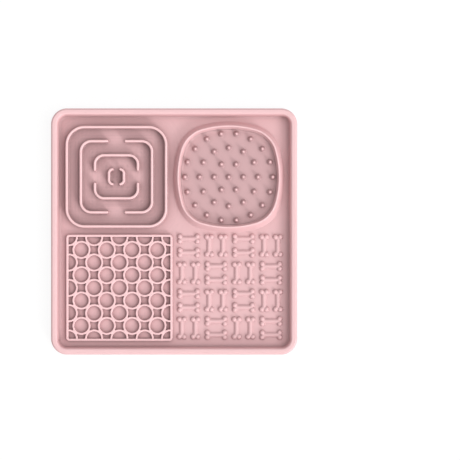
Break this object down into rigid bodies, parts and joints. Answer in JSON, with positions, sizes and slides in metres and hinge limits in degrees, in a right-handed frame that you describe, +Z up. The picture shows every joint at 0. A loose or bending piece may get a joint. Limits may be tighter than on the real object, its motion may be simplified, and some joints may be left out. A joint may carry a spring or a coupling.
{
  "type": "lick mat",
  "caption": "Square silicone lick mat with a raised rim, a maze, a dish of nubs, a ring grid and raised bones on top, and suction cups underneath.",
  "frame": {"origin": "under the middle of the mat, on the surface that the suction cups stand on", "axes": "+Z up, +X right and +Y towards the top of the mat as seen from above"},
  "size_m": [0.2, 0.2, 0.014],
  "materials": {
    "silicone": "matte moulded silicone"
  },
  "bodies": {
    "root": {"base_sheet": "silicone", "suction_cups": "silicone", "rim": "silicone", "maze_outer_wall": "silicone", "maze_left_wall": "silicone", "maze_right_wall": "silicone", "maze_top_wall": "silicone", "maze_bottom_wall": "silicone", "maze_core_left": "silicone", "maze_core_right": "silicone", "dish_bowl": "silicone", "dish_nubs": "silicone", "grid_frame": "silicone", "grid_offset_rings": "silicone", "grid_centre_rings": "silicone", "grid_edge_rings": "silicone", "grid_corner_arcs": "silicone", "bones_across": "silicone", "bones_upright": "silicone"}
  },
  "joints": []
}
